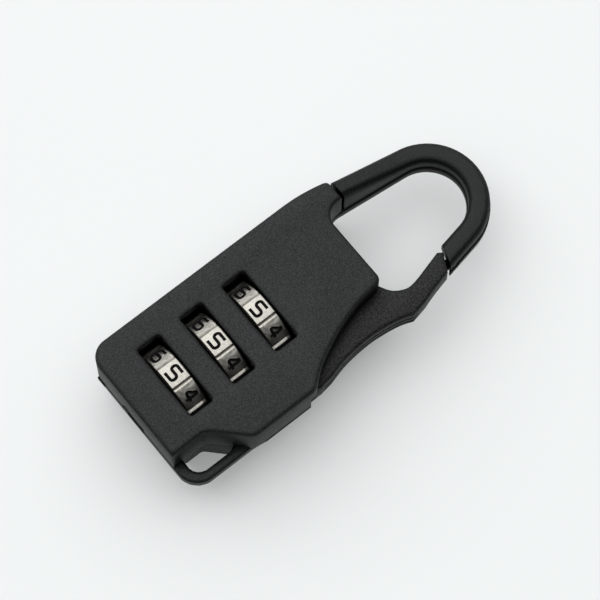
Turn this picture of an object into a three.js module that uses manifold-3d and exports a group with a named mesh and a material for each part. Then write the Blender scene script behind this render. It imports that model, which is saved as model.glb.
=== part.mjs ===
// A small three-dial luggage padlock with a fixed hook and a sprung gate, in millimetres.
// X runs across the body, Y from the bottom end up to the top of the hook, Z from the flat
// rear face out through the numbers. Everything is drawn with the bottom end at Y 0 and is
// moved as a whole at the end, so that the origin is the middle of the rear face's footprint.
import * as THREE from 'three';
import { mergeVertices } from 'three/addons/utils/BufferGeometryUtils.js';
import Module from 'manifold-3d';

// ---- driving dimensions ----
const overallLength = 55;
const halfWidth = 10.8;
const thickness = 11.6;
const seamHeight = 6.4;
const seamGap = 0.25;
const bottomWallFace = 0.1;
const edgeRound = 0.45;
const fitGap = 0.3;
const runGap = 0.1;

// body outline
const openingFloor = 34.7;
const rootEnd = 37.7;
const rootCurveRadius = 2.3;
const cornerRadius = 2.6;
const loopCornerRadius = 3;
const loopSide = 10.3;
const cutawayLeft = 6.4;
const leverExit = 18.6;
const rearWallStraight = 1.4;
const rearBevelInset = 2.6;
const openingBevelInset = 1.5;

// dials, sleeves and spindle share one axis, parallel to Y
const axisX = -1.8;
const axisZ = seamHeight;
const dialPitch = 6.68;
const dialCentres = [0, 1, 2].map((step) => 6.8 + step * dialPitch);
const dialRadius = 5.65;
const dialWidth = 3.15;
const dialPositions = 10;
const dialBore = 2.65;
const notchDepth = 0.5;
const windowWidth = 11.05;
const windowHeight = 3.55;
const windowCentreX = -1.6;
const windowCorner = 0.4;

const sleeveRadius = 2.5;
const sleeveBore = 2.1;
const sleeveHalfLength = 3.19;
const gateDiscHalf = 0.6;
const rodRadius = 1;
const finRadius = 1.9;
const finLength = 1;
const finWidth = 0.7;
const headTop = 31;
const headThickness = 0.7;
const headRadius = 2.4;
const bulkheadBottom = 26.3;
const bulkheadTop = 27.1;
const springWire = 0.35;

// gate lever
const hinge = { x: 7.6, y: 15.2 };
const hingePinRadius = 0.9;
const hingeBoss = 2;
const leverBottom = 4.3;
const leverTop = 8.9;
const leverRound = 0.4;
const leverRearInset = 0.7;
const leverRearRise = 1.6;
const gripHeights = [6.6, 7.6];
const gripWidth = 0.25;
const gripDepth = 0.16;
const tongueTop = 5.9;
const toe = { x: -0.6, y: 32.1, radius: 0.8 };

// hook; its rear half is a little broader than its front half
const hookHalfWidth = 1.4;
const hookRearStep = 0.12;
const hookEdgeRound = 0.95;
const hookRootGap = 0.45;
const hookCentre = { x: -0.87, y: 46.94 };
const hookRadius = overallLength - hookCentre.y - hookHalfWidth - hookRearStep;
const hookBottom = 4.2;
const hookTop = 8.4;
const hookRootBottom = 3.6;
const hookRootTop = 11.3;
const leftLeanAngle = THREE.MathUtils.degToRad(6.3);
const rightLeanAngle = THREE.MathUtils.degToRad(11);

// reset slider
const resetTravel = 3;
const resetLift = 1.3;
const knobX = -3.25;
const knobWidth = 0.85;

const lowCorner = [cornerRadius - halfWidth, bottomWallFace + cornerRadius];
const loopCorner = [loopSide - loopCornerRadius, bottomWallFace + loopCornerRadius];
const rootCurveCentre = [-4.7, openingFloor + rootCurveRadius];
const frontSeam = seamHeight + seamGap / 2;
const rearSeam = seamHeight - seamGap / 2;
const rearBevelRise = rearSeam - rearWallStraight;
const far = 60;

// ---- solids ----
const wasm = await Module();
wasm.setup();

function toSolid(geometry) {
  geometry.deleteAttribute('normal');
  geometry.deleteAttribute('uv');
  const merged = mergeVertices(geometry, 1e-4);
  return new wasm.Manifold(new wasm.Mesh({
    numProp: 3,
    vertProperties: new Float32Array(merged.attributes.position.array),
    triVerts: new Uint32Array(merged.index.array),
  }));
}

function toMesh(name, solid, material) {
  const result = solid.getMesh();
  const geometry = new THREE.BufferGeometry();
  geometry.setAttribute('position', new THREE.BufferAttribute(result.vertProperties, 3));
  geometry.setIndex(new THREE.BufferAttribute(result.triVerts, 1));
  geometry.computeVertexNormals();
  const mesh = new THREE.Mesh(geometry, material);
  mesh.name = name;
  return mesh;
}

function box(low, high) {
  const size = high.map((value, i) => value - low[i]);
  const geometry = new THREE.BoxGeometry(...size);
  geometry.translate(...low.map((value, i) => value + size[i] / 2));
  return toSolid(geometry);
}

function cylinderY(x, z, low, high, radius, segments = 32) {
  const geometry = new THREE.CylinderGeometry(radius, radius, high - low, segments);
  geometry.translate(x, (low + high) / 2, z);
  return toSolid(geometry);
}

function cylinderZ(x, y, low, high, radius, segments = 24) {
  const geometry = new THREE.CylinderGeometry(radius, radius, high - low, segments);
  geometry.rotateX(Math.PI / 2);
  geometry.translate(x, y, (low + high) / 2);
  return toSolid(geometry);
}

function prism(shape, low, high, curveSegments = 8) {
  const options = { depth: high - low, bevelEnabled: false, curveSegments };
  const geometry = new THREE.ExtrudeGeometry(shape, options);
  geometry.translate(0, 0, low);
  return toSolid(geometry);
}

// a prism with both rims rounded, kept inside its own outline
function roundedPrism(shape, low, high, round, curveSegments = 8) {
  const geometry = new THREE.ExtrudeGeometry(shape, {
    depth: high - low - 2 * round,
    bevelThickness: round,
    bevelSize: round,
    bevelOffset: -round,
    bevelSegments: 3,
    curveSegments,
  });
  geometry.translate(0, 0, low + round);
  return toSolid(geometry);
}

// the room above a slanted rear edge: its outline is drawn in by inset at the bottom
function slantedEnvelope(shape, low, inset, rise, curveSegments) {
  const geometry = new THREE.ExtrudeGeometry(shape, {
    depth: far,
    bevelThickness: rise,
    bevelSize: inset,
    bevelOffset: -inset,
    bevelSegments: 1,
    curveSegments,
  });
  geometry.translate(0, 0, low + rise);
  return toSolid(geometry);
}

function above(solid, height) {
  return solid.intersect(box([-far, -far, height], [far, far, far]));
}

function below(solid, height) {
  return solid.intersect(box([-far, -far, -far], [far, far, height]));
}

function subtractAll(solid, cutters) {
  return cutters.reduce((rest, cutter) => rest.subtract(cutter), solid);
}

function addAll(solid, pieces) {
  return pieces.reduce((sum, piece) => sum.add(piece), solid);
}

function polygon(points) {
  return new THREE.Shape(points.map(([x, y]) => new THREE.Vector2(x, y)));
}

// ---- covers ----

// both covers share this outline; the front one is cut back around the lanyard loop
function bodyOutline(frontCover) {
  const shape = new THREE.Shape();
  shape.moveTo(cornerRadius - halfWidth, bottomWallFace);
  if (frontCover) {
    shape.lineTo(cutawayLeft, bottomWallFace);
    shape.lineTo(cutawayLeft, 4.4);
    shape.quadraticCurveTo(cutawayLeft, 5.2, cutawayLeft + 0.6, 5.8);
    shape.lineTo(halfWidth - 0.5, 9.1);
    shape.quadraticCurveTo(halfWidth, 9.6, halfWidth, 10.3);
  } else {
    shape.absarc(...loopCorner, loopCornerRadius, -Math.PI / 2, 0, false);
    shape.lineTo(loopSide, 9.4);
    shape.quadraticCurveTo(loopSide + 0.1, 10.4, halfWidth, 11.4);
  }
  shape.lineTo(halfWidth, leverExit);
  shape.quadraticCurveTo(halfWidth, 19.4, 10.1, 20);
  shape.splineThru([[8.4, 22.4], [6.6, 26.2], [5.35, 30.2], [4.95, 33]].map(
    ([x, y]) => new THREE.Vector2(x, y)));
  shape.quadraticCurveTo(4.85, openingFloor, 3.7, openingFloor);
  shape.absarc(...rootCurveCentre, rootCurveRadius, -Math.PI / 2, -Math.PI, true);
  shape.lineTo(rootCurveCentre[0] - rootCurveRadius, rootEnd);
  shape.lineTo(-9.3, rootEnd);
  shape.quadraticCurveTo(-9.95, rootEnd, -10.1, 36.9);
  shape.quadraticCurveTo(-halfWidth, 34, -halfWidth, 31);
  shape.absarc(...lowCorner, cornerRadius, Math.PI, 1.5 * Math.PI, false);
  return shape;
}

// room for the lever to swing between the covers, with its slot through the opening's floor
function leverCavity() {
  const room = polygon([
    [hinge.x - hingeBoss - fitGap, hinge.y], [4.85, 19.5], [4.3, 21.7], [3.1, 25.3],
    [1.5, 28.2], [0.8, 29.4], [-4.8, 29.4], [-4.8, 33.3], [0.2, 33.5], [0.2, rootEnd],
    [far, rootEnd], [far, leverExit + 1.2], [10.15, leverExit - 0.2], [10, hinge.y],
  ]);
  const low = leverBottom - fitGap;
  const high = leverTop + fitGap;
  return prism(room, low, high)
    .add(cylinderZ(hinge.x, hinge.y, low, high, hingeBoss + fitGap, 32));
}

function dialPockets() {
  return dialCentres.map((y) => {
    const half = windowHeight / 2 - 0.06;
    return cylinderY(axisX, axisZ, y - half, y + half, dialRadius + 0.2, 40);
  });
}

// a rectangle about the origin with rounded corners
function roundedRectangle(width, height, radius) {
  const shape = new THREE.Shape();
  const right = width / 2 - radius;
  const top = height / 2 - radius;
  shape.absarc(right, top, radius, 0, Math.PI / 2, false);
  shape.absarc(-right, top, radius, Math.PI / 2, Math.PI, false);
  shape.absarc(-right, -top, radius, Math.PI, 1.5 * Math.PI, false);
  shape.absarc(right, -top, radius, 1.5 * Math.PI, 2 * Math.PI, false);
  return shape;
}

function dialWindows() {
  const hole = prism(
    roundedRectangle(windowWidth, windowHeight, windowCorner), seamHeight, far, 4);
  return dialCentres.map((y) => hole.translate([windowCentreX, y, 0]));
}

// slide room of the reset slider, and the slot its knob works in
function resetCavities() {
  const knobSlot = [knobX - knobWidth / 2 - 0.2, knobX + knobWidth / 2 + resetTravel + 0.25];
  return [
    box([-7.3, 1.05, 3.4], [4.1, 5.2, 9.4]),
    box([knobSlot[0], -1, axisZ - 0.9], [knobSlot[1], 1.2, axisZ + 0.9]),
  ];
}

// what both halves leave free for the pieces between them
function innerCavities() {
  const spindleBottom = 2.2;
  const headRoomTop = headTop + 1;
  return [
    ...dialPockets(),
    cylinderY(axisX, axisZ, 3, bulkheadBottom, sleeveRadius + 0.25),
    cylinderY(axisX, axisZ, spindleBottom, headRoomTop, rodRadius + 0.2),
    cylinderY(axisX, axisZ, bulkheadTop, headRoomTop, headRadius + fitGap),
    box([-9.45, 4, 4.6], [-7.6, 23.4, 8.2]),
    leverCavity(),
    cylinderZ(hinge.x, hinge.y, 1.4, 10.2, hingePinRadius + runGap),
    ...resetCavities(),
  ];
}

// welding pegs that hold the covers together, on solid ground between the cavities
const coverPegs = [[-9.1, 2.6], [-9.1, 27.5], [-6.6, 32], [7.6, 11.4]];
const pegRadius = 0.7;
const pegLength = 2;

function frontCover() {
  const shell = above(roundedPrism(bodyOutline(true), 0, thickness, edgeRound), frontSeam);
  const hollow = subtractAll(shell, [...innerCavities(), ...dialWindows()]);
  const pegs = coverPegs.map(([x, y]) =>
    cylinderZ(x, y, frontSeam - seamGap - pegLength, frontSeam + 1, pegRadius, 16));
  return addAll(hollow, pegs);
}

// cuts the slanted rear edge along one straight side of the body
function rearBevelCutter(angle, distance) {
  const cut = new THREE.Shape();
  const slope = rearBevelRise / rearBevelInset;
  cut.moveTo(distance + 1, rearBevelRise + slope);
  cut.lineTo(distance - rearBevelInset - 1, -slope);
  cut.lineTo(distance + 9, -slope);
  const geometry = new THREE.ExtrudeGeometry(cut, { depth: 2 * far, bevelEnabled: false });
  geometry.translate(0, 0, -far);
  geometry.rotateX(Math.PI / 2);
  geometry.rotateZ(angle);
  return toSolid(geometry);
}

// carries the slanted rear edge round one of the body's lower corners
function cornerBevels(centre, radius, start) {
  return [1, 2, 3].map((step) => {
    const angle = start + step * Math.PI / 8;
    const distance = centre[0] * Math.cos(angle) + centre[1] * Math.sin(angle) + radius;
    return rearBevelCutter(angle, distance);
  });
}

// slants the rear edge of the opening beside the hook's root
function openingBevel() {
  const shape = new THREE.Shape();
  shape.moveTo(rootCurveCentre[0] + 4, openingFloor);
  shape.lineTo(rootCurveCentre[0] + 4, far);
  shape.lineTo(rootCurveCentre[0] - rootCurveRadius, far);
  shape.absarc(...rootCurveCentre, rootCurveRadius, Math.PI, 1.5 * Math.PI, false);
  const geometry = new THREE.ExtrudeGeometry(shape, {
    depth: 1,
    bevelThickness: rearBevelRise,
    bevelSize: openingBevelInset,
    bevelSegments: 1,
    curveSegments: 8,
  });
  geometry.translate(0, 0, -1);
  return above(toSolid(geometry), -1);
}

// the hole reaches in under the front cover's edge
function lanyardHole() {
  const shape = new THREE.Shape();
  shape.moveTo(5.8, 1.6);
  shape.lineTo(7.7, 1.6);
  shape.quadraticCurveTo(8.8, 1.8, 9.1, 3.1);
  shape.lineTo(9.1, 6.8);
  shape.quadraticCurveTo(8.9, 7.6, 8.3, 8.1);
  shape.lineTo(5.6, 5.5);
  shape.quadraticCurveTo(5.3, 5.2, 5.3, 4.8);
  shape.lineTo(5.3, 2.2);
  shape.quadraticCurveTo(5.3, 1.6, 5.8, 1.6);
  return prism(shape, -1, far, 4);
}

function rearCover() {
  const shell = below(roundedPrism(bodyOutline(false), 0, thickness, edgeRound), rearSeam);
  const pegHoles = [
    ...coverPegs.map(([x, y]) =>
      cylinderZ(x, y, rearSeam - pegLength - fitGap, far, pegRadius + runGap, 16)),
    ...hookPegs.map(([x, y]) =>
      cylinderZ(x, y, rearSeam - hookPegLength - 0.2, far, hookPegRadius + runGap, 12)),
  ];
  const bevels = [
    rearBevelCutter(0, loopSide),
    rearBevelCutter(Math.PI, halfWidth),
    rearBevelCutter(-Math.PI / 2, -bottomWallFace),
    ...cornerBevels(lowCorner, cornerRadius, Math.PI),
    ...cornerBevels(loopCorner, loopCornerRadius, -Math.PI / 2),
    openingBevel(),
  ];
  const cut = subtractAll(shell, [...innerCavities(), ...bevels, lanyardHole()]);
  const edgeLug = box([-9, 0, 5.3], [-7.6, 1, 6.1]);
  const tonguePocket = prism(
    polygon([[4, 41], [7.45, 41], [7.7, 44.75], [5.9, 45.4], [4, 45.4]]), -1, far);
  const hookRearHalf = below(hookSolid(hookRearStep).subtract(tonguePocket), rearSeam);
  return subtractAll(addAll(cut, [hookRearHalf, edgeLug]), pegHoles);
}

// ---- hook ----
const hookPegs = [[-8.15, 41], [-7.55, 46.6], [hookCentre.x, hookCentre.y + hookRadius]];
const hookPegRadius = 0.5;
const hookPegLength = 1.2;

function hookPath() {
  const path = new THREE.Path();
  const leftStart = Math.PI - leftLeanAngle;
  const arcLeft = [
    hookCentre.x + hookRadius * Math.cos(leftStart),
    hookCentre.y + hookRadius * Math.sin(leftStart),
  ];
  const legLength = 13;
  path.moveTo(
    arcLeft[0] - legLength * Math.sin(leftLeanAngle),
    arcLeft[1] - legLength * Math.cos(leftLeanAngle));
  path.lineTo(...arcLeft);
  path.absarc(hookCentre.x, hookCentre.y, hookRadius, leftStart, rightLeanAngle, true);
  const arcRight = [
    hookCentre.x + hookRadius * Math.cos(rightLeanAngle),
    hookCentre.y + hookRadius * Math.sin(rightLeanAngle),
  ];
  const tipLength = 7;
  path.lineTo(
    arcRight[0] + tipLength * Math.sin(rightLeanAngle),
    arcRight[1] - tipLength * Math.cos(rightLeanAngle));
  const points = path.getSpacedPoints(72).map((p) => new THREE.Vector3(p.x, p.y, 0));
  return new THREE.CatmullRomCurve3(points);
}

// the bar is swept flat, then its left leg is deepened evenly towards the body
function hookSolid(extraHalfWidth = 0) {
  const height = hookTop - hookBottom;
  const halfHeight = height / 2;
  const breadth = 2 * (hookHalfWidth + extraHalfWidth);
  const geometry = new THREE.ExtrudeGeometry(
    roundedRectangle(height, breadth, hookEdgeRound),
    { steps: 56, extrudePath: hookPath(), curveSegments: 4 });
  const place = geometry.attributes.position;
  const slopeStart = hookCentre.y + 1;
  for (let i = 0; i < place.count; i += 1) {
    const onLeftLeg = place.getX(i) < hookCentre.x;
    const slope = (slopeStart - place.getY(i)) / (slopeStart - rootEnd);
    const depth = onLeftLeg ? THREE.MathUtils.clamp(slope, 0, 1) : 0;
    const low = THREE.MathUtils.lerp(hookBottom, hookRootBottom, depth);
    const high = THREE.MathUtils.lerp(hookTop, hookRootTop, depth);
    const share = (place.getZ(i) + halfHeight) / (2 * halfHeight);
    place.setZ(i, THREE.MathUtils.lerp(low, high, share));
  }
  const tipCut = prism(polygon([[4, 44.68], [9.4, 42.94], [12, 30], [4, 30]]), -1, far);
  return toSolid(geometry).subtract(tipCut);
}

function hookFrontHalf() {
  const half = above(hookSolid(), frontSeam)
    .subtract(box([-far, -far, 0], [far, rootEnd + hookRootGap, far]));
  const pegs = hookPegs.map(([x, y]) =>
    cylinderZ(x, y, frontSeam - seamGap - hookPegLength, frontSeam + 0.8, hookPegRadius, 12));
  return addAll(half, pegs);
}

// ---- gate ----

// the lever's outer side, from its tip down past the thumb groove
function addLeverOuterSide(shape) {
  shape.lineTo(8.36, 42.5);
  shape.splineThru([[8.98, 40], [9.65, 37.8]].map(([x, y]) => new THREE.Vector2(x, y)));
  shape.lineTo(10.1, 35.6);
  shape.splineThru([[9.5, 33.9], [9.1, 31.5], [8.95, 29], [9.25, 25.4], [10, 22.4]].map(
    ([x, y]) => new THREE.Vector2(x, y)));
  shape.lineTo(10.3, 20.4);
}

// the arm that closes the hook and the plate that runs down to the hinge
function leverArmOutline() {
  const shape = new THREE.Shape();
  shape.moveTo(5.95, 43.75);
  addLeverOuterSide(shape);
  shape.quadraticCurveTo(9.7, 18.6, hinge.x + hingeBoss, hinge.y + 0.6);
  shape.absarc(hinge.x, hinge.y, hingeBoss, 0.1, -Math.PI, true);
  shape.lineTo(5.9, 20);
  shape.lineTo(5, 26);
  shape.lineTo(3.6, 31);
  shape.lineTo(3.4, 33.4);
  shape.quadraticCurveTo(3.8, 33.9, 4.3, 34.5);
  shape.splineThru([[5.9, 35.5], [6.8, 37.2], [6.6, 39.1]].map(
    ([x, y]) => new THREE.Vector2(x, y)));
  shape.lineTo(5.5, 43.1);
  return shape;
}

// the outer side only, closed well away from the lever everywhere else
function leverRearOutline() {
  const shape = new THREE.Shape();
  shape.moveTo(-far, far);
  shape.lineTo(0, far);
  addLeverOuterSide(shape);
  shape.lineTo(10.3, 5);
  shape.lineTo(-far, 5);
  return shape;
}

// the finger inside the case that pushes the spindle's head down
function leverToe() {
  const shape = new THREE.Shape();
  shape.moveTo(4.6, 27);
  shape.lineTo(5.6, 27);
  shape.lineTo(5.6, 33.1);
  shape.lineTo(toe.x, toe.y + toe.radius);
  shape.absarc(toe.x, toe.y, toe.radius, Math.PI / 2, 1.5 * Math.PI, false);
  shape.lineTo(3, 31);
  shape.quadraticCurveTo(4.4, 30.4, 4.6, 27);
  return prism(shape, leverBottom + 0.3, leverTop - 0.4, 6);
}

// two fine grooves along the thumb side
function gripGrooves(arm) {
  const inner = arm.translate([-gripDepth, 0, 0]);
  return gripHeights.map((z) => box(
    [7, 21, z - gripWidth / 2], [far, 36.2, z + gripWidth / 2]).subtract(inner));
}

function gateLever() {
  const arm = roundedPrism(leverArmOutline(), leverBottom, leverTop, leverRound, 4)
    .intersect(slantedEnvelope(
      leverRearOutline(), leverBottom, leverRearInset, leverRearRise, 4));
  const tongue = prism(
    polygon([[5.9, 42.6], [7.05, 42], [7.3, 44.25], [6.3, 44.6]]), leverBottom + 0.4, tongueTop);
  return addAll(subtractAll(arm, gripGrooves(arm)), [leverToe(), tongue])
    .subtract(cylinderZ(hinge.x, hinge.y, -1, far, hingePinRadius + runGap));
}

function gatePivotPin() {
  return cylinderZ(hinge.x, hinge.y, 1.6, 10, hingePinRadius);
}

// ---- dials, sleeves and spindle ----

// outer rim with a groove at each of the ten positions, chamfered at both sides
function dialBody() {
  const half = dialWidth / 2;
  const chamfer = 0.3;
  const profile = [
    [dialBore, -half], [dialRadius - chamfer, -half], [dialRadius, chamfer - half],
    [dialRadius, half - chamfer], [dialRadius - chamfer, half], [dialBore, half],
    [dialBore, -half],
  ].map(([r, y]) => new THREE.Vector2(r, y));
  return toSolid(new THREE.LatheGeometry(profile, 6 * dialPositions));
}

function around(count, piece, offset = 0) {
  return Array.from({ length: count }, (_, i) =>
    piece.rotate([0, ((i + offset) * 360) / count, 0]));
}

function numberDial(y) {
  const half = dialWidth / 2;
  const notchEnd = -0.2;
  const groove = box([-0.15, -half - 1, dialRadius - 0.35], [0.15, half + 1, dialRadius + 1]);
  const notch = box([-0.5, -half - 1, 1], [0.5, notchEnd + 0.1, dialBore + notchDepth]);
  const counterbore = cylinderY(0, 0, notchEnd, half + 1, dialBore + notchDepth + 0.05, 30);
  return subtractAll(dialBody(), [
    ...around(dialPositions, groove, 0.5),
    ...around(dialPositions, notch),
    counterbore,
  ]).translate([axisX, y, axisZ]);
}

// tube with five keys outside and, inside, a disc with one slot that lets a fin through
function codeSleeve(y) {
  const tube = cylinderY(0, 0, -sleeveHalfLength, sleeveHalfLength, sleeveRadius, 30);
  const key = box([-0.4, -1.4, 1.5], [0.4, -0.25, dialBore + 0.35]);
  const chambers = [
    cylinderY(0, 0, -far, -gateDiscHalf, sleeveBore, 24),
    cylinderY(0, 0, gateDiscHalf, far, sleeveBore, 24),
  ];
  const slotHalf = finWidth / 2 + runGap;
  return subtractAll(addAll(tube, around(dialPositions / 2, key)), [
    ...chambers,
    cylinderY(0, 0, -far, far, rodRadius + 0.25, 24),
    box([-slotHalf, -far, 0], [slotHalf, far, finRadius + runGap]),
  ]).translate([axisX, y, axisZ]);
}

function lockSpindle() {
  const rodBottom = 4.1;
  const neckRadius = 0.6;
  const rod = cylinderY(axisX, axisZ, rodBottom, headTop - headThickness - 0.15, rodRadius, 24);
  const neck = cylinderY(axisX, axisZ, 20, headTop, neckRadius, 16);
  const fins = dialCentres.map((y) => box(
    [axisX - finWidth / 2, y + gateDiscHalf + 0.15, axisZ],
    [axisX + finWidth / 2, y + gateDiscHalf + 0.15 + finLength, axisZ + finRadius]));
  return addAll(rod.add(neck), fins);
}

function spindleHead() {
  return cylinderY(axisX, axisZ, headTop - headThickness, headTop, headRadius, 32)
    .subtract(cylinderY(axisX, axisZ, 20, far, 0.75, 16));
}

// ---- springs ----
class Helix extends THREE.Curve {
  constructor(radius, low, high, turns) {
    super();
    Object.assign(this, { radius, low, high, turns });
  }

  getPoint(t, target = new THREE.Vector3()) {
    const angle = 2 * Math.PI * this.turns * t;
    return target.set(
      this.radius * Math.cos(angle),
      THREE.MathUtils.lerp(this.low, this.high, t),
      this.radius * Math.sin(angle));
  }
}

function coilSpring(radius, low, high, turns) {
  const wire = new THREE.Shape().absarc(0, 0, springWire / 2, 0, 2 * Math.PI, false);
  const route = new Helix(radius, low + springWire / 2, high - springWire / 2, turns);
  const steps = 20 * turns;
  const geometry = new THREE.ExtrudeGeometry(wire, {
    steps,
    extrudePath: route,
    curveSegments: 6,
  });
  geometry.translate(axisX, 0, axisZ);
  return toSolid(geometry);
}

// a bent strip whose three humps drop into the dials' grooves
function detentSpring() {
  const stripX = -9.15;
  const strip = 0.25;
  const hump = 1.15;
  const back = [[stripX, 4.5]];
  dialCentres.forEach((y) => {
    back.push([stripX, y - 1.5], [stripX + hump, y - 0.25]);
    back.push([stripX + hump, y + 0.25], [stripX, y + 1.5]);
  });
  back.push([stripX, 23]);
  const face = back.map(([x, y]) => [x + strip, y]).reverse();
  return prism(polygon([...back, ...face]), 5.1, 7.7);
}

// ---- reset slider ----

// a plate with a knob below and two wedges above, one each side of the spindle
function resetSlider() {
  const plateBottom = 1.25;
  const rampFoot = dialCentres[0] - sleeveHalfLength - fitGap;
  const left = -7.1;
  const rampLeft = -6.8;
  const wedge = polygon([
    [left, plateBottom], [0.6, plateBottom], [0.6, rampFoot],
    [rampLeft + resetTravel, rampFoot], [rampLeft, rampFoot + resetLift],
    [left, rampFoot + resetLift],
  ]);
  const plate = box([left, plateBottom, axisZ - 2.6], [0.6, 2, axisZ + 2.6]);
  const knob = box(
    [knobX - knobWidth / 2, 0, axisZ - 0.6],
    [knobX + knobWidth / 2, plateBottom + 0.2, axisZ + 0.6]);
  return addAll(plate, [
    prism(wedge, axisZ - 2.6, axisZ - 1.5),
    prism(wedge, axisZ + 1.5, axisZ + 2.6),
    knob,
  ]);
}

// ---- materials ----
function material(colour, roughness, metalness = 0) {
  return new THREE.MeshStandardMaterial({ color: colour, roughness, metalness });
}

const casePlastic = () => material(0x2a2b2c, 0.6);
const barPlastic = () => material(0x262728, 0.5);
const leverPlastic = () => material(0x2c2d2e, 0.68);
const innerPlastic = () => material(0x17181a, 0.5);
const sleevePlastic = () => material(0xd8d5cc, 0.45);
const dialChrome = () => material(0xc9c4ba, 0.18, 1);
const springSteel = () => material(0xa9adb2, 0.3, 1);

// ---- assembly ----
const padlock = new THREE.Group();
padlock.add(toMesh('front_cover', frontCover(), casePlastic()));
padlock.add(toMesh('rear_cover', rearCover(), casePlastic()));
padlock.add(toMesh('hook_front_half', hookFrontHalf(), barPlastic()));
padlock.add(toMesh('gate_lever', gateLever(), leverPlastic()));
padlock.add(toMesh('gate_pivot_pin', gatePivotPin(), springSteel()));
padlock.add(toMesh('lock_spindle', lockSpindle(), springSteel()));
padlock.add(toMesh('spindle_head', spindleHead(), innerPlastic()));
dialCentres.forEach((y, i) => {
  padlock.add(toMesh(`number_dial_${i + 1}`, numberDial(y), dialChrome()));
  padlock.add(toMesh(`code_sleeve_${i + 1}`, codeSleeve(y), sleevePlastic()));
});
const sleeveTop = dialCentres[2] + sleeveHalfLength;
const coilRadius = 1.75;
padlock.add(toMesh('sleeve_spring',
  coilSpring(sleeveRadius - 0.35, sleeveTop + 0.15, bulkheadBottom - 0.15, 3), springSteel()));
padlock.add(toMesh('spindle_return_spring',
  coilSpring(coilRadius, bulkheadTop + 0.15, headTop - headThickness - 0.15, 4), springSteel()));
padlock.add(toMesh('dial_detent_spring', detentSpring(), springSteel()));
padlock.add(toMesh('reset_slider', resetSlider(), innerPlastic()));
padlock.position.set(0, -overallLength / 2, 0);

const assembly = new THREE.Group();
assembly.add(padlock);
export default assembly;
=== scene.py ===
import math

import bmesh
import bpy
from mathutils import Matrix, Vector


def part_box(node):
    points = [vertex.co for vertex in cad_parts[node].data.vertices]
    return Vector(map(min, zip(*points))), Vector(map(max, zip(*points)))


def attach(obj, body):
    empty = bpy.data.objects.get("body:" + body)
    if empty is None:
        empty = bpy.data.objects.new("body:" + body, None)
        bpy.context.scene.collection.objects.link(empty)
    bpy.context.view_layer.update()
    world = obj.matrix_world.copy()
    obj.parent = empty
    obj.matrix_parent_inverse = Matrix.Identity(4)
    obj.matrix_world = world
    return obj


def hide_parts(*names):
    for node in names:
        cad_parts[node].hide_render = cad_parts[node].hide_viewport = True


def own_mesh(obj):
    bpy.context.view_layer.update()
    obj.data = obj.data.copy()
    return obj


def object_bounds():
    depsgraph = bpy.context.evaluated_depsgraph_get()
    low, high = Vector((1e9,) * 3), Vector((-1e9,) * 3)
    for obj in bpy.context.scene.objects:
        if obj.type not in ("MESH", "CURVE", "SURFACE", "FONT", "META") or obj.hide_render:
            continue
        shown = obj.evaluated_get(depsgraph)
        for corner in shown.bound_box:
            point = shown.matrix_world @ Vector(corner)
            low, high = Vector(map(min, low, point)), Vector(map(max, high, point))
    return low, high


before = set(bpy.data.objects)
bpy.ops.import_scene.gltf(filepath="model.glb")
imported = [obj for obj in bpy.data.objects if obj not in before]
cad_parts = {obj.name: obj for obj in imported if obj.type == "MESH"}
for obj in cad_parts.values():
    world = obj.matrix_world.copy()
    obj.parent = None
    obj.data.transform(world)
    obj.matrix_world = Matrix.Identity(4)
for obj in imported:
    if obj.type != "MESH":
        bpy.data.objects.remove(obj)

cad_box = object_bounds()

# Lengths are in metres, in the frame's own axes, and angles in degrees unless noted.
MM = 0.001

# ---- number dials ----
DIAL_COUNT = 3
POSITIONS = 10
STEP = 2 * math.pi / POSITIONS  # radians from one figure to the next
SHOWN_FIGURE = 5
DIAL_BORE = 2.72 * MM
FLATNESS = 0.3  # 0 is a round wheel, 1 a ten-sided one
SEGMENTS_PER_FACE = 24
RIM_CHAMFER = 0.28 * MM
GROOVE_HALF = 0.34 * MM
GROOVE_DEPTH = 0.26 * MM
GROOVE_POWER = 1.5  # above 1 narrows the groove towards its bottom
FIGURE_WIDTH = 1.45 * MM
FIGURE_HEIGHT = 1.78 * MM
FIGURE_STROKE = 0.21 * MM
FIGURE_CORNER = 0.34
CORNER_STEPS = 5
SPECK_POINTS = 50  # a loose bit of mesh with fewer points is a leftover of cutting

# ---- mouldings and springs ----
SAME_POINT = 0.0005 * MM
FLAT_ANGLE = 0.6
CORNER_ANGLE = 32
ROUNDING_SEGMENTS = 3

# ---- finish ----
NOISE_BAND = (0.3, 0.7)  # most of a noise's values lie between these
UNIT = (0.0, 1.0)
CLOUD_SIZE = 7.0 * MM
CLOUD_CONTRAST = 0.04
PIT_SPACING = 1.7  # in grains
WEAR_REACH = 0.22 * MM
WEAR_PATCH = 1.1 * MM
WEAR_LIGHTENING = 0.15
WEAR_POLISH = 0.12
GLOSS_SPREAD = 0.04
MOULDING_GAP = 1.6 * MM  # gaps between mouldings narrower than this get painted shade
# painted shade darkens the plating in corners narrower than this
PLATING_GAP = 0.35 * MM
# painted shade: colour and sheen are scaled down to these deep in gaps
GAP_SHADE_COLOUR = 0.12
GAP_SHADE_SHEEN = 0.1
GRAZING_SHEEN = 0.42

# ---- stage ----
FLOOR_HALF = 3.0
FLOOR_GAP = 0.02 * MM
FLOOR_GLOW = 0.24
CAMERA_SIDE = (51.2, 70.6)  # azimuth and elevation it looks from
CAMERA_DISTANCE = 0.3758
CAMERA_LENS = 180
CAMERA_SENSOR = 36
CAMERA_CLIP = (0.01, 20)
AIM_OFFSET = Vector((-0.15, -2.06, 3.5)) * MM  # from the lock's centre
ROOM_COLOUR = (0.96, 0.985, 1.0, 1.0)
ROOM_LIGHT_SIDE = (-110, 45)
ROOM_STRENGTH = (0.02, 1.05)  # on the side away from the light, and towards it
ROOM_FADE = (-0.2, 0.8)


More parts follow.
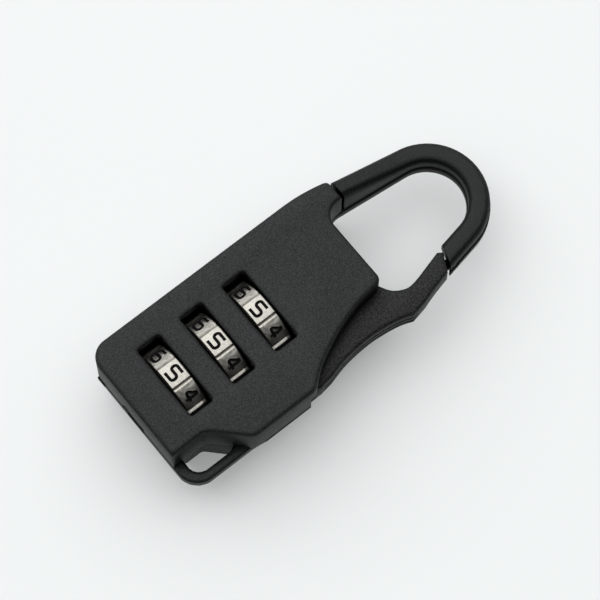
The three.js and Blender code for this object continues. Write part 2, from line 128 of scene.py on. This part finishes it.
# ---- shader building ----
class Shader:
    """A material's node tree, with one short call for each kind of node."""

    def __init__(self, name):
        self.material = bpy.data.materials.new(name)
        self.material.use_nodes = True
        self.nodes = self.material.node_tree.nodes
        self.links = self.material.node_tree.links
        self.surface = self.nodes["Principled BSDF"]
        self.place = self.add("ShaderNodeTexCoord").outputs["Object"]

    def add(self, kind, **settings):
        node = self.nodes.new(kind)
        for key, value in settings.items():
            setattr(node, key, value)
        return node

    def put(self, socket, value):
        if isinstance(value, bpy.types.NodeSocket):
            self.links.new(value, socket)
        else:
            socket.default_value = value

    def noise(self, grain, detail=2.0, roughness=0.5, place=None):
        """Noise whose features are about grain metres across."""
        node = self.add("ShaderNodeTexNoise")
        self.put(node.inputs["Vector"], self.place if place is None else place)
        self.put(node.inputs["Scale"], 1 / grain)
        self.put(node.inputs["Detail"], detail)
        self.put(node.inputs["Roughness"], roughness)
        return node.outputs["Fac"]

    def cells(self, grain):
        """Distance to the nearest of scattered points about grain metres apart."""
        node = self.add("ShaderNodeTexVoronoi")
        self.put(node.inputs["Vector"], self.place)
        self.put(node.inputs["Scale"], 1 / grain)
        return node.outputs["Distance"]

    def stretch(self, scale):
        node = self.add("ShaderNodeMapping")
        self.put(node.inputs["Vector"], self.place)
        self.put(node.inputs["Scale"], scale)
        return node.outputs["Vector"]

    def remap(self, value, source, target):
        """Value moved from one range to another, and kept inside it."""
        node = self.add("ShaderNodeMapRange", clamp=True)
        for socket, number in zip(node.inputs, (value, *source, *target)):
            self.put(socket, number)
        return node.outputs["Result"]

    def math(self, operation, a, b):
        node = self.add("ShaderNodeMath", operation=operation)
        self.put(node.inputs[0], a)
        self.put(node.inputs[1], b)
        return node.outputs[0]

    def times(self, a, b):
        return self.math("MULTIPLY", a, b)

    def mix(self, share, a, b):
        node = self.add("ShaderNodeMix", data_type="RGBA")
        self.put(node.inputs["Factor"], share)
        self.put(node.inputs["A"], a)
        self.put(node.inputs["B"], b)
        return node.outputs["Result"]

    def scaled(self, colour, factor):
        node = self.add("ShaderNodeVectorMath", operation="SCALE")
        self.put(node.inputs[0], colour[:3])
        self.put(node.inputs["Scale"], factor)
        return node.outputs["Vector"]

    def rounded(self, radius, samples=4):
        """The surface's direction as if its edges were rounded to radius."""
        node = self.add("ShaderNodeBevel", samples=samples)
        self.put(node.inputs["Radius"], radius)
        return node.outputs["Normal"]

    def edges(self, radius):
        """1 on edges that turn within radius, 0 on flat ground."""
        geometry = self.add("ShaderNodeNewGeometry")
        facing = self.add("ShaderNodeVectorMath", operation="DOT_PRODUCT")
        self.put(facing.inputs[0], self.rounded(radius))
        self.put(facing.inputs[1], geometry.outputs["Normal"])
        return self.remap(facing.outputs["Value"], (0.995, 0.86), UNIT)

    def open_sky(self, reach):
        """1 on open ground, 0 deep in gaps narrower than reach."""
        node = self.add("ShaderNodeAmbientOcclusion", samples=8)
        self.put(node.inputs["Distance"], reach)
        return self.remap(node.outputs["AO"], (0.3, 0.85), UNIT)

    def grazing(self):
        """0 where the surface faces the viewer, towards 1 where it is seen edge on."""
        return self.add("ShaderNodeLayerWeight").outputs["Facing"]

    def bump(self, height, distance, under=None):
        node = self.add("ShaderNodeBump")
        self.put(node.inputs["Height"], height)
        self.put(node.inputs["Distance"], distance)
        if under is not None:
            self.put(node.inputs["Normal"], under)
        return node.outputs["Normal"]

    def finish(self, colour, roughness, normal, metallic=0.0, specular=0.5):
        self.put(self.surface.inputs["Base Color"], colour)
        self.put(self.surface.inputs["Roughness"], roughness)
        self.put(self.surface.inputs["Metallic"], metallic)
        self.put(self.surface.inputs["Specular IOR Level"], specular)
        self.put(self.surface.inputs["Normal"], normal)
        return self.material


def grey(value, warm=0.0):
    return (value * (1 + warm), value, value * (1 - warm), 1.0)


def moulded_plastic(name, colour, grain, depth, roughness,
                    speckle=0.0, shine=0.25, rim=0.2 * MM):
    """Dyed plastic from a spark-eroded mould: a fine grain, faint cloudiness, edges
    rounded to rim that handling has polished a little, and painted shade in its gaps."""
    shader = Shader(name)
    fine = shader.noise(grain, detail=3.0, roughness=0.65)
    pits = shader.cells(grain * PIT_SPACING)
    cloud = shader.noise(CLOUD_SIZE)
    patches = shader.remap(shader.noise(WEAR_PATCH), (0.35, 0.7), (0.1, 1.0))
    worn = shader.times(shader.edges(WEAR_REACH), patches)
    open_sky = shader.open_sky(MOULDING_GAP)

    tone = shader.remap(cloud, NOISE_BAND, (1 - CLOUD_CONTRAST, 1 + CLOUD_CONTRAST))
    flecks = shader.remap(fine, (0.42, 0.72), (1 - speckle, 1 + 1.6 * speckle))
    # painted shade: colour darkens in gaps and crevices where little open sky reaches
    level = shader.times(shader.times(tone, flecks),
                         shader.remap(open_sky, UNIT, (GAP_SHADE_COLOUR, 1.0)))
    rubbed = [min(1.0, 1.6 * c) for c in colour[:3]] + [1.0]
    base = shader.mix(shader.times(worn, WEAR_LIGHTENING), shader.scaled(colour, level), rubbed)

    gloss = shader.remap(fine, NOISE_BAND, (roughness + GLOSS_SPREAD, roughness - GLOSS_SPREAD))
    gloss = shader.math("SUBTRACT", gloss, shader.times(worn, WEAR_POLISH))
    sparkle = shader.remap(fine, (0.32, 0.72), (shine * (1 - speckle), shine * (1 + speckle)))
    # painted shade: the sheen dims in the same gaps
    sheen = shader.times(sparkle, shader.remap(open_sky, UNIT, (GAP_SHADE_SHEEN, 1.0)))
    away = shader.remap(shader.grazing(), (0.15, 0.7), (1.0, GRAZING_SHEEN))
    sheen = shader.times(sheen, away)

    grain_height = shader.math("ADD", fine, shader.times(pits, 0.5))
    relief = shader.bump(grain_height, depth, under=shader.rounded(rim, samples=8))
    return shader.finish(base, gloss, relief, specular=sheen)


def plated_metal(name, colour):
    """Bright plating over a die-cast wheel: nearly smooth, slightly wavy, duller in
    places, with painted shade darkening its corners."""
    shader = Shader(name)
    waves = shader.noise(1.3 * MM)
    haze = shader.noise(0.35 * MM, detail=4.0, roughness=0.7)
    film = shader.times(shader.remap(haze, (0.45, 0.8), UNIT), 0.35)
    # painted shade: the plating darkens in corners and grooves where little open sky reaches
    corners = shader.remap(shader.open_sky(PLATING_GAP), UNIT, (0.85, 0.0))
    film_and_shade = shader.math("MAXIMUM", film, corners)
    base = shader.mix(film_and_shade, colour, (0.12, 0.11, 0.095, 1.0))
    gloss = shader.remap(haze, (0.3, 0.8), (0.3, 0.46))
    relief = shader.bump(waves, 0.16 * MM, under=shader.bump(haze, 0.006 * MM))
    return shader.finish(base, gloss, relief, metallic=1.0)


def drawn_steel(name, colour):
    """Spring wire and strip, with fine lines along the draw and a few dull patches."""
    shader = Shader(name)
    lines = shader.noise(1.2 * MM, place=shader.stretch((1.0, 12.0, 1.0)))
    patches = shader.noise(0.9 * MM, detail=3.0)
    dull = shader.remap(patches, (0.5, 0.75), (0.0, 0.5))
    base = shader.mix(dull, colour, (0.25, 0.24, 0.23, 1.0))
    gloss = shader.remap(lines, NOISE_BAND, (0.22, 0.4))
    return shader.finish(base, gloss, shader.bump(lines, 0.01 * MM), metallic=1.0)


def ink(name):
    """Matt black paint in the recessed figures, thin in a few spots."""
    shader = Shader(name)
    thin = shader.remap(shader.noise(0.12 * MM, detail=3.0), (0.55, 0.75), (0.0, 0.6))
    base = shader.mix(thin, grey(0.003), grey(0.014, 0.05))
    relief = shader.bump(shader.noise(0.08 * MM), 0.01 * MM)
    return shader.finish(base, 0.6, relief, specular=0.08)


def natural_plastic(name):
    """Undyed sliding-bearing plastic, slightly waxy."""
    shader = Shader(name)
    cloud = shader.noise(1.5 * MM, detail=3.0)
    base = shader.mix(cloud, (0.70, 0.67, 0.58, 1.0), (0.60, 0.56, 0.47, 1.0))
    gloss = shader.remap(cloud, NOISE_BAND, (0.35, 0.5))
    return shader.finish(base, gloss, shader.bump(shader.noise(0.1 * MM), 0.01 * MM))


def paper_floor(name):
    """Matt pale board with the faintest tooth, lit a little from behind."""
    shader = Shader(name)
    cloud = shader.noise(60 * MM)
    base = shader.mix(cloud, (0.55, 0.56, 0.555, 1.0), (0.565, 0.575, 0.57, 1.0))
    shader.put(shader.surface.inputs["Emission Color"], (0.97, 1.0, 0.985, 1.0))
    shader.put(shader.surface.inputs["Emission Strength"], FLOOR_GLOW)
    relief = shader.bump(shader.noise(0.25 * MM), 0.01 * MM)
    return shader.finish(base, 0.8, relief, specular=0.2)


case_plastic = moulded_plastic(
    "case_plastic", grey(0.0065, -0.06), grain=0.17 * MM, depth=0.028 * MM,
    roughness=0.42, speckle=0.45, shine=0.27, rim=0.8 * MM)
bar_plastic = moulded_plastic(
    "bar_plastic", grey(0.0035, -0.06), grain=0.14 * MM, depth=0.018 * MM,
    roughness=0.42, speckle=0.45, shine=0.24, rim=0.25 * MM)
lever_plastic = moulded_plastic(
    "lever_plastic", grey(0.006, 0.02), grain=0.19 * MM, depth=0.05 * MM,
    roughness=0.44, speckle=0.62, shine=0.235, rim=0.4 * MM)
inner_plastic = moulded_plastic(
    "inner_plastic", grey(0.006), grain=0.12 * MM, depth=0.01 * MM, roughness=0.45)
plating = plated_metal("dial_plating", (0.41, 0.395, 0.355, 1.0))
steel = drawn_steel("spring_steel", (0.62, 0.63, 0.65, 1.0))
figure_ink = ink("figure_ink")
sleeve_plastic = natural_plastic("sleeve_plastic")


# ---- CAD nodes that keep their own shape ----
def give_material(piece, material):
    piece.data.materials.clear()
    piece.data.materials.append(material)


def join_points(piece):
    """Neighbouring faces come in with corners of their own; this makes them share."""
    joined = piece.modifiers.new("join_points", "WELD")
    joined.merge_threshold = SAME_POINT


def round_edges(piece, width):
    """Rounds the moulding's sharp edges a little, without changing its size."""
    flatten = piece.modifiers.new("join_flat_faces", "DECIMATE")
    flatten.decimate_type = "DISSOLVE"
    flatten.angle_limit = math.radians(FLAT_ANGLE)
    rounding = piece.modifiers.new("small_rounding", "BEVEL")
    rounding.width = width
    rounding.segments = ROUNDING_SEGMENTS
    rounding.limit_method = "ANGLE"
    rounding.angle_limit = math.radians(CORNER_ANGLE)


def smooth(piece, angle):
    for face in piece.data.polygons:
        face.use_smooth = True
    by_angle = piece.modifiers.new("smooth_by_angle", "EDGE_SPLIT")
    by_angle.split_angle = math.radians(angle)


def dress(node, material, smooth_angle, rounding=0.0):
    """Gives a CAD node its material, and its edges a rounding if it has one."""
    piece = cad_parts[node]
    give_material(piece, material)
    join_points(piece)
    if rounding:
        round_edges(piece, rounding)
    smooth(piece, smooth_angle)


dress("front_cover", case_plastic, 30, rounding=0.10 * MM)
dress("rear_cover", case_plastic, 30, rounding=0.12 * MM)
dress("hook_front_half", bar_plastic, 30, rounding=0.10 * MM)
dress("gate_lever", lever_plastic, 30, rounding=0.12 * MM)
dress("reset_slider", inner_plastic, 30, rounding=0.08 * MM)
dress("spindle_head", inner_plastic, 30, rounding=0.06 * MM)
for steel_node in ("gate_pivot_pin", "lock_spindle", "sleeve_spring",
                   "spindle_return_spring", "dial_detent_spring"):
    dress(steel_node, steel, 40)
for number in range(1, DIAL_COUNT + 1):
    dress(f"code_sleeve_{number}", sleeve_plastic, 35)


# ---- springs that shorten, each given a mesh of its own ----
def shorten(node):
    """Gives the coil a mesh of its own."""
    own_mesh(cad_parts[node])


shorten("spindle_return_spring")
shorten("sleeve_spring")


# ---- number dials ----
# Each figure is a few strokes in a box one unit wide and one high, with rounded corners.
FIGURES = {
    0: [("closed", (0, 0), (1, 0), (1, 1), (0, 1))],
    1: [("open", (0.2, 0.78), (0.58, 1), (0.58, 0))],
    2: [("open", (0, 0.82), (0, 1), (1, 1), (1, 0.5), (0, 0.42), (0, 0), (1, 0))],
    3: [("open", (0, 0.9), (0.1, 1), (1, 1), (1, 0), (0.1, 0), (0, 0.1)),
        ("open", (0.35, 0.52), (1, 0.52))],
    4: [("open", (0.72, 0), (0.72, 1), (0.6, 1), (0, 0.3), (1, 0.3))],
    5: [("open", (0.95, 1), (0, 1), (0, 0.53), (1, 0.53), (1, 0), (0, 0))],
    6: [("open", (0.92, 1), (0, 1), (0, 0), (1, 0), (1, 0.55), (0.05, 0.55))],
    7: [("open", (0, 1), (1, 1), (0.35, 0))],
    8: [("closed", (0, 0), (1, 0), (1, 1), (0, 1)), ("open", (0.05, 0.52), (0.95, 0.52))],
    9: [("open", (0.08, 0), (1, 0), (1, 1), (0, 1), (0, 0.45), (0.95, 0.45))],
}


def add_object(name, data):
    made = bpy.data.objects.new(name, data)
    bpy.context.scene.collection.objects.link(made)
    return made


def round_corners(points, closed):
    """The polyline with its corners replaced by short curves."""
    points = [Vector(p) for p in points]
    count = len(points)
    made = []
    for i, corner in enumerate(points):
        if not closed and i in (0, count - 1):
            made.append(corner)
            continue
        before, after = points[i - 1], points[(i + 1) % count]
        reach = min(FIGURE_CORNER, (before - corner).length / 2, (after - corner).length / 2)
        start = corner + (before - corner).normalized() * reach
        end = corner + (after - corner).normalized() * reach
        for k in range(CORNER_STEPS + 1):
            t = k / CORNER_STEPS
            made.append(start * (1 - t) ** 2 + corner * 2 * t * (1 - t) + end * t ** 2)
    return made


def dial_radius_at(angle, radius):
    """A wheel whose ten faces are nearly flat between rounded corners."""
    from_face = (angle + STEP / 2) % STEP - STEP / 2
    flat = radius * math.cos(STEP / 2) / math.cos(from_face)
    return (1 - FLATNESS) * radius + FLATNESS * flat


def figure_strokes(radius):
    """All ten figures as one curve that lies on the wheel's faces, used to cut them."""
    data = bpy.data.curves.new("figure_strokes", "CURVE")
    data.dimensions = "3D"
    data.bevel_depth = FIGURE_STROKE
    data.bevel_resolution = 2
    data.use_fill_caps = True
    for figure, strokes in FIGURES.items():
        turn = (SHOWN_FIGURE - figure) * STEP
        for kind, *points in strokes:
            closed = kind == "closed"
            route = round_corners(points, closed)
            spline = data.splines.new("POLY")
            spline.points.add(len(route) - 1)
            spline.use_cyclic_u = closed
            for point, (u, v) in zip(spline.points, route):
                angle = turn + (u - 0.5) * FIGURE_WIDTH / radius
                reach = dial_radius_at(angle, radius)
                y = (v - 0.5) * FIGURE_HEIGHT
                point.co = (reach * math.sin(angle), y, reach * math.cos(angle), 1.0)
    return add_object("figure_strokes", data)


def ring_profile(radius, bore, half):
    """The wheel's section as (radius, y) going round once, starting inside at the bottom.
    Its rims are chamfered twice: a little at the face, then steeply."""
    inset, drop = 0.16 * RIM_CHAMFER, 2 * RIM_CHAMFER
    knee = 0.72 * RIM_CHAMFER
    return [
        (bore, -half), (radius - drop, -half), (radius - inset, knee - half),
        (radius, RIM_CHAMFER - half), (radius, half - RIM_CHAMFER),
        (radius - inset, half - knee), (radius - drop, half), (bore, half),
    ]


def dial_blank(radius, bore, half):
    """The wheel before its figures are cut, with a groove between neighbouring faces."""
    turns = POSITIONS * SEGMENTS_PER_FACE
    mesh = bmesh.new()
    rings = []
    for i in range(turns):
        angle = 2 * math.pi * i / turns
        from_groove = ((angle % STEP) - STEP / 2) * radius
        across = min(1.0, abs(from_groove) / GROOVE_HALF)
        depth = GROOVE_DEPTH * (0.5 + 0.5 * math.cos(math.pi * across)) ** GROOVE_POWER
        profile = ring_profile(dial_radius_at(angle, radius) - depth, bore, half)
        rings.append([
            mesh.verts.new((r * math.sin(angle), y, r * math.cos(angle))) for r, y in profile])
    count = len(rings[0])
    for i, ring in enumerate(rings):
        following = rings[(i + 1) % turns]
        for k in range(count):
            mesh.faces.new((
                ring[k], ring[(k + 1) % count], following[(k + 1) % count], following[k]))
    bmesh.ops.recalc_face_normals(mesh, faces=mesh.faces)
    data = bpy.data.meshes.new("dial_blank")
    mesh.to_mesh(data)
    mesh.free()
    return add_object("dial_blank", data)


def baked(piece):
    """The piece's mesh with its modifiers or curve settings applied."""
    depsgraph = bpy.context.evaluated_depsgraph_get()
    depsgraph.update()
    return bpy.data.meshes.new_from_object(piece.evaluated_get(depsgraph), depsgraph=depsgraph)


def drop_specks(data):
    """Removes the loose specks that cutting leaves behind."""
    mesh = bmesh.new()
    mesh.from_mesh(data)
    unseen = set(mesh.verts)
    specks = []
    while unseen:
        island = [unseen.pop()]
        for point in island:
            for edge in point.link_edges:
                other = edge.other_vert(point)
                if other in unseen:
                    unseen.remove(other)
                    island.append(other)
        if len(island) < SPECK_POINTS:
            specks.extend(island)
    bmesh.ops.delete(mesh, geom=specks, context="VERTS")
    mesh.to_mesh(data)
    mesh.free()


def engraved_dial(radius, bore, half):
    """The wheel's mesh, plated, with its ten figures cut in and inked."""
    blank = dial_blank(radius, bore, half)
    give_material(blank, plating)
    strokes = figure_strokes(radius)
    cutter = add_object("figure_cutter", baked(strokes))
    give_material(cutter, figure_ink)
    engrave = blank.modifiers.new("engrave", "BOOLEAN")
    engrave.operation = "DIFFERENCE"
    engrave.solver = "EXACT"
    engrave.use_self = True
    engrave.material_mode = "TRANSFER"
    engrave.object = cutter
    made = baked(blank)
    drop_specks(made)
    for scrap in (blank, strokes, cutter):
        bpy.data.objects.remove(scrap)
    return made


def make_dials():
    low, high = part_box("number_dial_1")
    shape = engraved_dial((high.z - low.z) / 2, DIAL_BORE, (high.y - low.y) / 2)
    for number in range(1, DIAL_COUNT + 1):
        node = f"number_dial_{number}"
        low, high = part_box(node)
        dial = add_object(f"dial_{number}_wheel", shape.copy())
        dial.location = (low + high) / 2
        smooth(dial, 35)
        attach(dial, f"dial_{number}")
        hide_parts(node)


make_dials()


# ---- stage ----
def make_floor():
    mesh = bmesh.new()
    bmesh.ops.create_grid(mesh, x_segments=1, y_segments=1, size=FLOOR_HALF)
    data = bpy.data.meshes.new("floor")
    mesh.to_mesh(data)
    mesh.free()
    data.materials.append(paper_floor("floor_board"))
    floor = add_object("floor", data)
    floor.location = (0, 0, cad_box[0].z - FLOOR_GAP)


def direction(azimuth, elevation):
    a, e = math.radians(azimuth), math.radians(elevation)
    return Vector((math.sin(a) * math.cos(e), -math.cos(a) * math.cos(e), math.sin(e)))


def face_along(piece, back):
    """Turns a camera or lamp so that it looks away from the direction back."""
    piece.rotation_euler = back.to_track_quat("Z", "Y").to_euler()


def make_camera():
    """Looks down on the lock from beyond its lower right corner, as a long lens would."""
    back = direction(*CAMERA_SIDE)
    data = bpy.data.cameras.new("camera")
    data.lens = CAMERA_LENS
    data.sensor_width = CAMERA_SENSOR
    data.clip_start, data.clip_end = CAMERA_CLIP
    camera = add_object("camera", data)
    aim = (cad_box[0] + cad_box[1]) / 2 + AIM_OFFSET
    camera.location = aim + back * CAMERA_DISTANCE
    face_along(camera, back)
    bpy.context.scene.camera = camera


def add_softbox(name, azimuth, elevation, distance, size, power):
    lamp = bpy.data.lights.new(name, "AREA")
    lamp.size = size
    lamp.energy = power
    softbox = add_object(name, lamp)
    back = direction(azimuth, elevation)
    softbox.location = back * distance
    face_along(softbox, back)


def make_room_light():
    """Even light from one side of the room that fades towards the other."""
    world = bpy.data.worlds.new("studio")
    world.use_nodes = True
    nodes, links = world.node_tree.nodes, world.node_tree.links
    background = nodes["Background"]
    background.inputs["Color"].default_value = ROOM_COLOUR
    towards = nodes.new("ShaderNodeVectorMath")
    towards.operation = "DOT_PRODUCT"
    towards.inputs[1].default_value = direction(*ROOM_LIGHT_SIDE)
    links.new(nodes.new("ShaderNodeTexCoord").outputs["Generated"], towards.inputs[0])
    fade = nodes.new("ShaderNodeMapRange")
    fade.interpolation_type = "SMOOTHSTEP"
    for socket, number in zip(fade.inputs[1:5], ROOM_FADE + ROOM_STRENGTH):
        socket.default_value = number
    links.new(towards.outputs["Value"], fade.inputs[0])
    links.new(fade.outputs["Result"], background.inputs["Strength"])
    bpy.context.scene.world = world


make_floor()
make_camera()
make_room_light()
add_softbox("key", azimuth=-84, elevation=50, distance=1.0, size=1.2, power=1.5)
add_softbox("ceiling", azimuth=-105, elevation=72, distance=1.35, size=2.6, power=17.6)
bpy.context.scene.view_settings.view_transform = "Standard"
bpy.context.scene.view_settings.look = "None"
